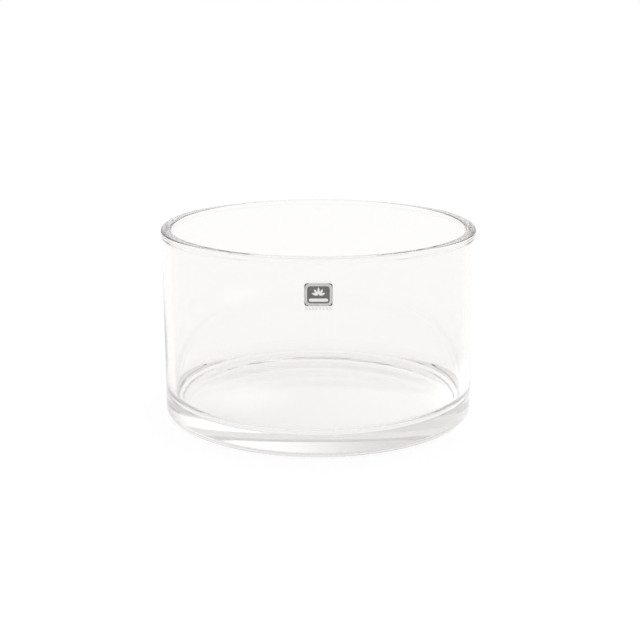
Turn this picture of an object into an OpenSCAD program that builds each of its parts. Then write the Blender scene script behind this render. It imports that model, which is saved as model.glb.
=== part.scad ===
// Low glass cylinder vase with a heavy base, a thick melted lip and a small sticker on its wall.
// Millimetres. The origin is the centre of the base, on the surface that the vase stands on.
// +Z is up, along the vase's axis, and the sticker faces -Y.

/* [Vessel] */
// Outside diameter, measured across the lip
diameter = 200; // [140:1:260]
// Overall height
height = 121; // [90:1:200]
// Thickness of the wall
wall = 5.8; // [4:0.1:6.2]
// Thickness of the base, from the surface it stands on to the floor inside
base = 12; // [8:0.5:18]

/* [Lip] */
// Thickness of the lip
lip = 6.8; // [6.4:0.1:8]
// How far the lip stands out beyond the wall
lip_proud = 0.5; // [0.3:0.1:0.9]
// Height over which the wall swells outwards into the lip
lip_run_out = 3; // [2:0.5:5]
// Height over which the wall swells inwards into the lip
lip_run_in = 6; // [5.5:0.5:12]
// Radius of the lip's two melted edges
lip_edge = 1.6; // [0.8:0.1:2.2]

/* [Corners] */
// Radius of the outside edge of the base
heel = 5; // [2:0.5:7]
// Radius of the inside corner, between the wall and the floor
inner_corner = 8.5; // [2:0.5:18]
// Width of the ring under the base that the vase stands on
foot_w = 9.5; // [6:0.5:20]
// Depth of the hollow underside at its middle
hollow_depth = 2; // [0.4:0.1:3]

/* [Sticker] */
// Width of the badge
badge_w = 16; // [12:0.5:20]
// Height of the badge
badge_h = 13.2; // [11:0.2:18]
// Distance from the top of the vase down to the top of the badge
badge_drop = 14.6; // [12:0.2:30]
// Width of the silver border round the badge
border_w = 1.2; // [0.8:0.1:1.6]
// Width of the light line inside the border
keyline_w = 0.35; // [0.2:0.05:0.6]
// Length of the middle petal of the mark
petal_l = 4.4; // [3:0.1:4.8]
// Width of a petal of the mark
petal_w = 1.35; // [0.8:0.05:1.6]
// Height of the bar under the petals
bar_h = 1.9; // [1:0.1:2.4]
// Width of the row of plain dashes under the badge
caption_w = 14.8; // [10:0.2:16]
// Height of the dashes
caption_h = 1.3; // [0.8:0.1:1.6]
// Number of dashes
caption_dashes = 8; // [5:1:10]
// Clear film left showing around the print
film_margin = 0.8; // [0.4:0.1:2]

/* [Hidden] */
$fn = 128;

lip_r = diameter / 2;
wall_r = lip_r - lip_proud;             // outside of the wall
bore_r = wall_r - wall;                 // inside of the wall
mouth_r = lip_r - lip;                  // inside of the lip
lip_level = height - lip_edge;          // where the melted edges start to turn in
lip_start = lip_level - lip_run_in;
hollow_r = wall_r - heel - foot_w;
curve_steps = 12;                       // points along each swept curve

// Each layer of the sticker lies on the one under it.
adhesive_t = 0.05;
film_t = 0.1;
foil_t = 0.08;
ink_t = 0.04;
light_ink_t = 0.06;                     // the light print stands a little above the dark print
film_r = wall_r + adhesive_t;
foil_r = film_r + film_t;
print_r = foil_r + foil_t;

badge_z = height - badge_drop - badge_h / 2;
badge_corner = 1.3;                     // radius of the badge's own corners
border_corner = 2.9;                    // the silver border turns its corners more widely
edge_line = 0.12;                       // dark line left round the border
field_inset = border_w + keyline_w;
field_corner = border_corner - border_w;
petal_turns = [-68, -34, 0, 34, 68];    // how far each petal leans from upright, in degrees
petal_root_y = -0.5;                    // where the petals meet, from the badge's middle
bar_w = badge_w - 2 * field_inset - 2;
bar_y = -3.1;
caption_gap = 0.9;                      // from the badge down to the dashes
caption_dash_share = 0.62;              // how much of each dash's pitch is printed
caption_z = badge_z - badge_h / 2 - caption_gap - caption_h / 2;

// Eased curve from 0 to 1, level at both ends
function ease(t) = (1 - cos(180 * t)) / 2;

// Height of the underside at a radius: a shallow dome inside the foot ring
function underside_z(r) = hollow_depth * (1 - pow(r / hollow_r, 2));

// ---- Glass vessel ----

// Half section of the solid body, without its hollow: a true cylinder with a rounded heel
module body_section() {
    translate([0, heel]) square([wall_r, lip_start - heel]);
    square([wall_r - heel, heel]);
    translate([wall_r - heel, heel]) circle(heel);
}

// Half section of the space inside, down to the rounded corner at the floor
module space_section() {
    translate([0, base + inner_corner]) square([bore_r, height]);
    translate([0, base]) square([bore_r - inner_corner, inner_corner]);
    translate([bore_r - inner_corner, base + inner_corner]) circle(inner_corner);
}

// Half section of the shallow hollow under the base
module underside_section() {
    polygon(concat(
        [[0, -1], [hollow_r, -1]],
        [for (i = [curve_steps:-1:0])
            let (r = hollow_r * i / curve_steps) [r, underside_z(r)]]
    ));
}

// Half section of the lip: the wall swells both ways, then ends in a flat top with melted edges
module lip_section() {
    polygon(concat(
        [[wall_r, lip_start]],
        [for (i = [0:curve_steps])
            let (t = i / curve_steps)
            [wall_r + (lip_r - wall_r) * ease(t), lip_level - lip_run_out * (1 - t)]],
        [for (i = [curve_steps:-1:0])
            let (t = i / curve_steps)
            [bore_r - (bore_r - mouth_r) * ease(t), lip_level - lip_run_in * (1 - t)]]
    ));
    translate([mouth_r + lip_edge, lip_level]) square([lip - 2 * lip_edge, lip_edge]);
    for (r = [mouth_r + lip_edge, lip_r - lip_edge])
        translate([r, lip_level]) circle(lip_edge);
}

module glass_vessel() {
    color([0.82, 0.92, 0.9], 0.35)
    rotate_extrude() {
        intersection() {
            square([lip_r, height]);
            union() {
                difference() {
                    body_section();
                    space_section();
                    underside_section();
                }
                lip_section();
            }
        }
    }
}

// ---- Sticker ----

// A rounded rectangle about its own middle
module rounded_box(w, h, r) {
    square([w - 2 * r, h], center = true);
    square([w, h - 2 * r], center = true);
    for (x = [-1, 1], y = [-1, 1])
        translate([x * (w / 2 - r), y * (h / 2 - r)]) circle(r);
}

// A pointed leaf shape that stands on the origin, between two arcs
module petal(length, width) {
    arc_r = (pow(length, 2) + pow(width, 2)) / (4 * width);
    translate([0, length / 2])
    intersection() {
        translate([arc_r - width / 2, 0]) circle(arc_r);
        translate([width / 2 - arc_r, 0]) circle(arc_r);
    }
}

// Wraps a flat outline, drawn with its height as y, round the wall from radius r outwards by t
module wrapped(r, t) {
    intersection() {
        difference() {
            cylinder(r = r + t, h = height);
            translate([0, 0, -1]) cylinder(r = r, h = height + 2);
        }
        rotate([90, 0, 0]) linear_extrude(diameter) children();
    }
}

module film_outline() {
    top = badge_z + badge_h / 2 + film_margin;
    bottom = caption_z - caption_h / 2 - film_margin;
    translate([0, (top + bottom) / 2])
    rounded_box(badge_w + 2 * film_margin, top - bottom, badge_corner + film_margin);
}

// The badge's outline, drawn smaller by an inset all round
module badge_outline(inset, corner) {
    translate([0, badge_z]) rounded_box(badge_w - 2 * inset, badge_h - 2 * inset, corner);
}

// The light mark: a fan of petals above a plain bar
module emblem_outline() {
    translate([0, badge_z]) {
        for (turn = petal_turns)
            translate([0, petal_root_y]) rotate(-turn)
            translate([0, 0.5]) petal(petal_l - abs(turn) / 90, petal_w);
        translate([0, bar_y]) rounded_box(bar_w, bar_h, bar_h / 2 - 0.1);
    }
}

module label_adhesive() {
    color([0.93, 0.93, 0.88], 0.3) wrapped(wall_r, adhesive_t) film_outline();
}

module label_film() {
    color([0.96, 0.97, 0.97], 0.25) wrapped(film_r, film_t) film_outline();
}

module label_foil() {
    color([0.76, 0.75, 0.74]) wrapped(foil_r, foil_t) badge_outline(0, badge_corner);
}

// The dark field, with the light mark left out of it, and the dark line round the border
module label_dark_ink() {
    color([0.4, 0.39, 0.38])
    wrapped(print_r, ink_t) {
        difference() {
            badge_outline(0, badge_corner);
            badge_outline(edge_line, border_corner);
        }
        difference() {
            badge_outline(field_inset, field_corner);
            emblem_outline();
        }
    }
}

module label_keyline() {
    color([0.88, 0.87, 0.86])
    wrapped(print_r, light_ink_t)
    difference() {
        badge_outline(border_w, field_corner + keyline_w);
        badge_outline(field_inset, field_corner);
    }
}

module label_emblem() {
    color([0.93, 0.92, 0.91]) wrapped(print_r, light_ink_t) emblem_outline();
}

module label_caption() {
    pitch = caption_w / (caption_dashes - 1 + caption_dash_share);
    dash_w = pitch * caption_dash_share;
    color([0.7, 0.69, 0.68])
    wrapped(foil_r, ink_t)
    for (i = [0:caption_dashes - 1])
        translate([pitch * i - caption_w / 2 + dash_w / 2, caption_z])
        square([dash_w, caption_h], center = true);
}

glass_vessel();
label_adhesive();
label_film();
label_foil();
label_dark_ink();
label_keyline();
label_emblem();
label_caption();
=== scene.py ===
import math

import bmesh
import bpy
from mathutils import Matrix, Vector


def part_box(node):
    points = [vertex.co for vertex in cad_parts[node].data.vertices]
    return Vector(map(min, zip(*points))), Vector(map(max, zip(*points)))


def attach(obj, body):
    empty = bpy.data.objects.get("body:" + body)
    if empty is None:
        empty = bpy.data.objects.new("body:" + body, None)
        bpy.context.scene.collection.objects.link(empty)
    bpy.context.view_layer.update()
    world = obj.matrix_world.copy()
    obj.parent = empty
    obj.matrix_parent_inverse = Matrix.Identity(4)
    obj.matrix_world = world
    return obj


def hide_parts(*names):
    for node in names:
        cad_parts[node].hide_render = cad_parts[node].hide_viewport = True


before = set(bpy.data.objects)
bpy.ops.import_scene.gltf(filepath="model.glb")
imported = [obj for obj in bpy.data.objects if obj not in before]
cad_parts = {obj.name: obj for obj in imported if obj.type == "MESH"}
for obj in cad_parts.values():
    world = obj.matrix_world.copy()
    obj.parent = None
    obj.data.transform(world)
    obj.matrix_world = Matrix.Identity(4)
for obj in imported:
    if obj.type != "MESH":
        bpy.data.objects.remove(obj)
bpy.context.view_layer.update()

MM = 0.001

# ---- Sizes, in metres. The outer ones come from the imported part. ----

VESSEL_LOW, VESSEL_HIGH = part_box("glass_vessel")
LIP_R = (VESSEL_HIGH.x - VESSEL_LOW.x) / 2
HEIGHT = VESSEL_HIGH.z
WALL_R = LIP_R - 0.5 * MM           # outside of the wall
BORE_R = WALL_R - 5.8 * MM          # inside of the wall
MOUTH_R = LIP_R - 6.8 * MM          # inside of the lip
BASE = 12 * MM                      # height of the floor inside
LIP_RUN_OUT = 3 * MM                # height over which the wall swells outwards into the lip
LIP_RUN_IN = 6 * MM                 # and inwards
LIP_EDGE = 1.6 * MM                 # radius of the lip's melted edges
HEEL = 5 * MM                       # radius of the outside edge of the base
CORNER = 8.5 * MM                   # radius of the inside corner at the floor
HOLLOW_R = WALL_R - HEEL - 9.5 * MM # edge of the hollow under the base
HOLLOW_DEPTH = 2.0 * MM
AXIS_R = 2 * MM                     # innermost ring of the lathe, round the point on the axis

TURN_STEPS = 360                    # segments round the vessel


def ease(t):
    """From 0 to 1, level at both ends."""
    return (1 - math.cos(math.pi * t)) / 2


def spread(start, end, steps):
    """Evenly spaced numbers from start towards end, without end itself."""
    return [start + (end - start) * i / steps for i in range(steps)]


def arc(cx, cz, radius, start_deg, end_deg, steps):
    return [
        (cx + radius * math.cos(math.radians(a)), cz + radius * math.sin(math.radians(a)))
        for a in spread(start_deg, end_deg, steps)
    ]


def add_piece(name, mesh, smooth=True):
    """Turns a bmesh into an object in the scene."""
    bmesh.ops.recalc_face_normals(mesh, faces=mesh.faces)
    data = bpy.data.meshes.new(name)
    mesh.to_mesh(data)
    mesh.free()
    if smooth:
        data.shade_smooth()
    piece = bpy.data.objects.new(name, data)
    bpy.context.scene.collection.objects.link(piece)
    return piece


# ---- Glass vessel ----


def outside_profile():
    """From under the base's middle, out round the heel and up to the middle of the lip's top."""
    lip_start = HEIGHT - LIP_EDGE - LIP_RUN_OUT
    points = [(r, HOLLOW_DEPTH * (1 - (r / HOLLOW_R) ** 2)) for r in spread(AXIS_R, HOLLOW_R, 36)]
    points += [(r, 0.0) for r in spread(HOLLOW_R, WALL_R - HEEL, 6)]
    points += arc(WALL_R - HEEL, HEEL, HEEL, -90, 0, 20)
    points += [(WALL_R, z) for z in spread(HEEL, lip_start, 48)]
    points += [
        (WALL_R + (LIP_R - WALL_R) * ease(t), lip_start + LIP_RUN_OUT * t)
        for t in spread(0, 1, 14)
    ]
    points += arc(LIP_R - LIP_EDGE, HEIGHT - LIP_EDGE, LIP_EDGE, 0, 90, 12)
    points += [(r, HEIGHT) for r in spread(LIP_R - LIP_EDGE, (LIP_R + MOUTH_R) / 2, 3)]
    return points


def inside_profile():
    """From the middle of the lip's top, down inside the wall and in to the floor's middle."""
    lip_start = HEIGHT - LIP_EDGE - LIP_RUN_IN
    points = [(r, HEIGHT) for r in spread((LIP_R + MOUTH_R) / 2, MOUTH_R + LIP_EDGE, 3)]
    points += arc(MOUTH_R + LIP_EDGE, HEIGHT - LIP_EDGE, LIP_EDGE, 90, 180, 12)
    points += [
        (MOUTH_R + (BORE_R - MOUTH_R) * ease(t), lip_start + LIP_RUN_IN * (1 - t))
        for t in spread(0, 1, 14)
    ]
    points += [(BORE_R, z) for z in spread(lip_start, BASE + CORNER, 48)]
    points += arc(BORE_R - CORNER, BASE + CORNER, CORNER, 0, -90, 30)
    points += [(r, BASE) for r in spread(BORE_R - CORNER, AXIS_R, 30)]
    points.append((AXIS_R, BASE))
    return points


def inside_drift(r, z, turn):
    """How far the inside of the wall and the floor wander, as (outwards, upwards).

    The wander of the wall fades out towards the floor and towards the lip.
    """
    up_wall = min(max((z - BASE) / (25 * MM), 0), 1) * min(max((HEIGHT - z) / (12 * MM), 0), 1)
    out = 0.07 * math.sin(2 * turn + 0.6) + 0.03 * math.sin(5 * turn + z / (17 * MM))
    across = (r / BORE_R) ** 2 if z < BASE + CORNER else 0
    up = 0.06 * math.sin(turn + 2.2) * across + 0.03 * math.sin(3 * turn + r / (21 * MM)) * across
    return out * up_wall * MM, up * MM


def lathe(name, outside, inside):
    """A closed body turned about Z, with a point on the axis at each end.

    Its inside wanders a little from a true turned shape.
    """
    mesh = bmesh.new()
    first = mesh.verts.new((0, 0, outside[0][1]))
    last = mesh.verts.new((0, 0, inside[-1][1]))
    rings = []
    for number, (r, z) in enumerate(outside + inside):
        ring = []
        for i in range(TURN_STEPS):
            turn = 2 * math.pi * i / TURN_STEPS
            out, up = inside_drift(r, z, turn) if number >= len(outside) else (0, 0)
            place = ((r + out) * math.cos(turn), (r + out) * math.sin(turn), z + up)
            ring.append(mesh.verts.new(place))
        rings.append(ring)
    for i in range(TURN_STEPS):
        j = (i + 1) % TURN_STEPS
        mesh.faces.new((first, rings[0][j], rings[0][i]))
        mesh.faces.new((last, rings[-1][i], rings[-1][j]))
        for low, high in zip(rings, rings[1:]):
            mesh.faces.new((low[i], low[j], high[j], high[i]))
    return add_piece(name, mesh)


# ---- Sticker: the clear sheets. The print keeps its CAD solids. ----

CLEAR_SHEET_STEPS = 32              # columns across a clear sheet
CLEAR_CORNER = 2.1 * MM
CORNER_STEPS = 8                    # rows up each corner of a clear sheet, and between corners


def sheet_rows(width, low, high, corner):
    """Heights up a rounded rectangle, each with half the width there."""
    foot = [
        (low + corner * (1 - math.cos(a)), width / 2 - corner * (1 - math.sin(a)))
        for a in spread(0, math.pi / 2, CORNER_STEPS)
    ]
    middle = [(z, width / 2) for z in spread(low + corner, high - corner, CORNER_STEPS)]
    head = [(low + high - z, half) for z, half in reversed(foot)]
    return foot + middle + [(high - corner, width / 2)] + head


def wrapped_sheet(name, node, inner_gap, outer_gap):
    """A thin clear sheet round the front of the wall, as wide and high as its CAD node."""
    low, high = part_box(node)
    rows = sheet_rows(high.x - low.x, low.z, high.z, CLEAR_CORNER)
    mesh = bmesh.new()
    grids = []
    for radius in (WALL_R + inner_gap, WALL_R + outer_gap):
        grid = []
        for z, half in rows:
            places = [half * (2 * i / CLEAR_SHEET_STEPS - 1) for i in range(CLEAR_SHEET_STEPS + 1)]
            grid.append([mesh.verts.new((x, -math.sqrt(radius**2 - x**2), z)) for x in places])
        grids.append(grid)
    for grid in grids:
        for under, over in zip(grid, grid[1:]):
            for i in range(CLEAR_SHEET_STEPS):
                mesh.faces.new((under[i], under[i + 1], over[i + 1], over[i]))
    back, front = grids
    last = CLEAR_SHEET_STEPS
    for i in range(last):
        for row in (0, -1):
            mesh.faces.new((back[row][i], back[row][i + 1], front[row][i + 1], front[row][i]))
    for j in range(len(rows) - 1):
        for side in (0, last):
            mesh.faces.new((back[j][side], back[j + 1][side], front[j + 1][side], front[j][side]))
    return add_piece(name, mesh, smooth=False)


# ---- Materials ----

NOISE_LOW, NOISE_HIGH = 0.3, 0.7    # noise mostly lies between these
GLASS_COLOUR = (0.968, 0.962, 0.954)
GLASS_IOR = 1.52
GLASS_DEPTH_COLOUR = (0.42, 0.36, 0.37)
GLASS_DEPTH_DENSITY = 1.6           # absorption per metre, before the colour's share
RIPPLE_SCALE = 38                   # lumps per metre
RIPPLE_DEPTH = 0.012 * MM
PLASTIC_IOR = 1.49
PRINT_DEPTH = 0.002 * MM            # brush lines in the foil, and grain in the ink


def new_material(name):
    material = bpy.data.materials.new(name)
    material.use_nodes = True
    tree = material.node_tree
    return material, tree, tree.nodes["Principled BSDF"]


def noise(tree, scale, detail=2.0, stretch=(1, 1, 1)):
    """Noise over the object's own coordinates, in metres, where scale is lumps per metre."""
    place = tree.nodes.new("ShaderNodeTexCoord")
    mapping = tree.nodes.new("ShaderNodeMapping")
    texture = tree.nodes.new("ShaderNodeTexNoise")
    mapping.inputs["Scale"].default_value = stretch
    texture.inputs["Scale"].default_value = scale
    texture.inputs["Detail"].default_value = detail
    tree.links.new(place.outputs["Object"], mapping.inputs["Vector"])
    tree.links.new(mapping.outputs["Vector"], texture.inputs["Vector"])
    return texture.outputs["Fac"]


def bump(tree, height, distance, before=None):
    """A bump of the given depth in metres, on top of an earlier one."""
    node = tree.nodes.new("ShaderNodeBump")
    node.inputs["Distance"].default_value = distance
    tree.links.new(height, node.inputs["Height"])
    if before is not None:
        tree.links.new(before, node.inputs["Normal"])
    return node.outputs["Normal"]


def between(tree, factor, low, high):
    """A colour or a grey that runs from low to high over the range where noise mostly lies."""
    ramp = tree.nodes.new("ShaderNodeValToRGB")
    ramp.color_ramp.elements[0].position = NOISE_LOW
    ramp.color_ramp.elements[0].color = (*low, 1)
    ramp.color_ramp.elements[1].position = NOISE_HIGH
    ramp.color_ramp.elements[1].color = (*high, 1)
    tree.links.new(factor, ramp.inputs["Fac"])
    return ramp.outputs["Color"]


def smooth_range(tree, value, source, target):
    """Runs smoothly from target's first number to its second as value crosses source."""
    node = tree.nodes.new("ShaderNodeMapRange")
    node.interpolation_type = "SMOOTHSTEP"
    node.inputs["From Min"].default_value, node.inputs["From Max"].default_value = source
    node.inputs["To Min"].default_value, node.inputs["To Max"].default_value = target
    tree.links.new(value, node.inputs["Value"])
    return node.outputs["Result"]


def glass_material():
    """Clear glass with a trace of tint in its depth, and the slow ripple of moulded glass."""
    material, tree, shader = new_material("clear_glass_look")
    shader.inputs["Base Color"].default_value = (*GLASS_COLOUR, 1)
    shader.inputs["Roughness"].default_value = 0.0
    shader.inputs["IOR"].default_value = GLASS_IOR
    shader.inputs["Transmission Weight"].default_value = 1.0
    ripple = bump(tree, noise(tree, RIPPLE_SCALE, 1.0, (1, 1, 0.5)), RIPPLE_DEPTH)
    tree.links.new(ripple, shader.inputs["Normal"])
    volume = tree.nodes.new("ShaderNodeVolumeAbsorption")
    volume.inputs["Color"].default_value = (*GLASS_DEPTH_COLOUR, 1)
    volume.inputs["Density"].default_value = GLASS_DEPTH_DENSITY
    tree.links.new(volume.outputs["Volume"], tree.nodes["Material Output"].inputs["Volume"])
    return material


def clear_sheet_material(name, tint, roughness, ripple_scale, ripple_depth):
    material, tree, shader = new_material(name)
    shader.inputs["Base Color"].default_value = (*tint, 1)
    shader.inputs["Roughness"].default_value = roughness
    shader.inputs["IOR"].default_value = PLASTIC_IOR
    shader.inputs["Transmission Weight"].default_value = 1.0
    ripple = bump(tree, noise(tree, ripple_scale), ripple_depth)
    tree.links.new(ripple, shader.inputs["Normal"])
    return material


def foil_material():
    """Satin silver foil: fine level brush lines and faint blotches."""
    material, tree, shader = new_material("silver_foil_look")
    blotches = between(tree, noise(tree, 600, 3.0), (0.5, 0.49, 0.48), (0.62, 0.61, 0.6))
    tree.links.new(blotches, shader.inputs["Base Color"])
    shader.inputs["Metallic"].default_value = 1.0
    brushed = noise(tree, 5000, 2.0, (0.1, 0.1, 1))
    satin = between(tree, brushed, (0.28, 0.28, 0.28), (0.42, 0.42, 0.42))
    tree.links.new(satin, shader.inputs["Roughness"])
    tree.links.new(bump(tree, brushed, PRINT_DEPTH), shader.inputs["Normal"])
    return material


def ink_material(name, thin, thick, roughness, gloss):
    """A printed ink that lies a little thin in places."""
    material, tree, shader = new_material(name)
    tree.links.new(between(tree, noise(tree, 1800, 4.0), thin, thick), shader.inputs["Base Color"])
    shader.inputs["Roughness"].default_value = roughness
    shader.inputs["Specular IOR Level"].default_value = gloss
    tree.links.new(bump(tree, noise(tree, 6000), PRINT_DEPTH), shader.inputs["Normal"])
    return material


def give(piece, material):
    """Puts one material on a piece or a CAD node."""
    piece.data.materials.clear()
    piece.data.materials.append(material)


def finish_piece(piece, node, material):
    give(piece, material)
    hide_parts(node)
    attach(piece, "root")


finish_piece(
    lathe("vase_glass", outside_profile(), inside_profile()),
    "glass_vessel",
    glass_material(),
)
finish_piece(
    wrapped_sheet("sticker_adhesive", "label_adhesive", 0.012 * MM, 0.045 * MM),
    "label_adhesive",
    clear_sheet_material("clear_adhesive_look", (0.99, 0.99, 0.985), 0.12, 900, 0.01 * MM),
)
finish_piece(
    wrapped_sheet("sticker_film", "label_film", 0.06 * MM, 0.14 * MM),
    "label_film",
    clear_sheet_material("clear_film_look", (0.99, 0.99, 0.99), 0.04, 350, 0.01 * MM),
)

# Each print piece keeps its CAD solid: name of its look, thin ink, thick ink, roughness, gloss
INKS = {
    "label_dark_ink": ("dark_ink_look", (0.17, 0.165, 0.16), (0.1, 0.098, 0.095), 0.4, 0.4),
    "label_keyline": ("light_line_look", (0.6, 0.59, 0.58), (0.74, 0.73, 0.72), 0.45, 0.4),
    "label_emblem": ("light_ink_look", (0.72, 0.71, 0.7), (0.84, 0.83, 0.82), 0.45, 0.4),
    "label_caption": ("grey_ink_look", (0.82, 0.81, 0.8), (0.7, 0.69, 0.68), 0.5, 0.3),
}
PRINT_LOOKS = {"label_foil": foil_material()}
PRINT_LOOKS.update((node, ink_material(*look)) for node, look in INKS.items())
for node, look in PRINT_LOOKS.items():
    give(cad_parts[node], look)

# ---- Floor, light and camera ----

FLOOR_R = 6.0
FLOOR_DROP = 0.05 * MM              # keeps the floor just clear of the base
FLOOR_SHADE = 0.2
FLOOR_GLOW = 0.84                   # the floor's own light, beside what it reflects

# Painted light: paler patches of the floor that stand in for pools of light, not lamps, placed for
# the tones that the base shows:
# each has its place, its radius and how much light it adds
PAINTED_LIGHT_PATCHES = [((-0.055, 0.0, 0), 0.055, 0.15), ((0.145, 0.0, 0), 0.09, 0.5)]


def floor_material():
    material, tree, shader = new_material("floor_look")
    shader.inputs["Base Color"].default_value = (FLOOR_SHADE, FLOOR_SHADE, FLOOR_SHADE, 1)
    shader.inputs["Roughness"].default_value = 0.9
    shader.inputs["Specular IOR Level"].default_value = 0.0
    shader.inputs["Emission Color"].default_value = (1, 1, 1, 1)
    place = tree.nodes.new("ShaderNodeTexCoord")
    glow = None
    # each patch adds a painted pool of light to the floor's own glow
    for middle, radius, extra in PAINTED_LIGHT_PATCHES:
        away = tree.nodes.new("ShaderNodeVectorMath")
        away.operation = "DISTANCE"
        away.inputs[1].default_value = middle
        tree.links.new(place.outputs["Object"], away.inputs[0])
        added = tree.nodes.new("ShaderNodeMath")
        added.operation = "ADD"
        added.inputs[1].default_value = FLOOR_GLOW
        if glow is not None:
            tree.links.new(glow, added.inputs[1])
        painted_pool = smooth_range(tree, away.outputs["Value"], (0.0, radius), (extra, 0.0))
        tree.links.new(painted_pool, added.inputs[0])
        glow = added.outputs["Value"]
    tree.links.new(glow, shader.inputs["Emission Strength"])
    return material


def floor():
    mesh = bmesh.new()
    bmesh.ops.create_circle(mesh, cap_ends=True, radius=FLOOR_R, segments=64)
    piece = add_piece("floor", mesh, smooth=False)
    piece.location.z = -FLOOR_DROP
    give(piece, floor_material())


# How bright the surround is at each height, as (sine of the elevation, brightness)
BACK_LEFT = [
    (0.0, 1.0), (0.17, 1.0), (0.2, 0.85), (0.24, 0.85), (0.28, 0.9), (0.5, 0.9), (0.8, 0.95),
]
BACK_RIGHT = [
    (0.0, 1.0), (0.17, 1.0), (0.2, 0.7), (0.23, 0.7), (0.28, 1.4), (0.5, 1.4), (0.8, 1.0),
]
ALL_ROUND = [(0.0, 0.95), (0.5, 1.0), (0.8, 0.9)]


def light_ramp(tree, height, stops):
    ramp = tree.nodes.new("ShaderNodeValToRGB")
    points = ramp.color_ramp.elements
    while len(points) < len(stops):
        points.new(0.5)
    for point, (place, brightness) in zip(points, stops):
        point.position = place
        point.color = (brightness, brightness, brightness, 1)
    tree.links.new(height, ramp.inputs["Fac"])
    return ramp.outputs["Color"]


def blend(tree, factor, first, second):
    """The first colour where factor is 0 and the second where it is 1."""
    mix = tree.nodes.new("ShaderNodeMixRGB")
    tree.links.new(factor, mix.inputs["Fac"])
    tree.links.new(first, mix.inputs["Color1"])
    tree.links.new(second, mix.inputs["Color2"])
    return mix.outputs["Color"]


def studio_light():
    """A white surround that is brightest behind and to the right, and plain white to the camera."""
    world = bpy.data.worlds.new("studio")
    bpy.context.scene.world = world
    world.use_nodes = True
    tree = world.node_tree
    place = tree.nodes.new("ShaderNodeTexCoord")
    axes = tree.nodes.new("ShaderNodeSeparateXYZ")
    tree.links.new(place.outputs["Generated"], axes.inputs["Vector"])
    height = axes.outputs["Z"]
    left, right, rest = (
        light_ramp(tree, height, stops) for stops in (BACK_LEFT, BACK_RIGHT, ALL_ROUND)
    )
    rightness = smooth_range(tree, axes.outputs["X"], (-0.3, 0.3), (0, 1))
    behind = smooth_range(tree, axes.outputs["Y"], (0.4, 0.8), (0, 1))
    light = blend(tree, behind, rest, blend(tree, rightness, left, right))
    white = tree.nodes.new("ShaderNodeRGB")
    white.outputs["Color"].default_value = (1, 1, 1, 1)
    seen = tree.nodes.new("ShaderNodeLightPath")
    light = blend(tree, seen.outputs["Is Camera Ray"], light, white.outputs["Color"])
    tree.links.new(light, tree.nodes["Background"].inputs["Color"])


CAMERA_AWAY = 0.816
CAMERA_HEIGHT = 0.2767
CAMERA_DOWN = 14.98                 # degrees below level
CAMERA_TURN = -0.07                 # degrees, to the right
CAMERA_LENS = 73.16                 # mm
SENSOR_WIDTH = 36                   # mm
LIGHT_BOUNCES = 32                  # enough to see through every face of the base


def camera():
    data = bpy.data.cameras.new("camera")
    data.sensor_width = SENSOR_WIDTH
    data.lens = CAMERA_LENS
    data.clip_start = 0.01
    data.clip_end = 100
    eye = bpy.data.objects.new("camera", data)
    bpy.context.scene.collection.objects.link(eye)
    eye.location = (0, -CAMERA_AWAY, CAMERA_HEIGHT)
    eye.rotation_euler = (math.radians(90 - CAMERA_DOWN), 0, math.radians(CAMERA_TURN))
    bpy.context.scene.camera = eye


floor()
studio_light()
camera()
bpy.context.scene.view_settings.view_transform = "Standard"
bpy.context.scene.cycles.max_bounces = LIGHT_BOUNCES
bpy.context.scene.cycles.transmission_bounces = LIGHT_BOUNCES
bpy.context.scene.cycles.glossy_bounces = LIGHT_BOUNCES
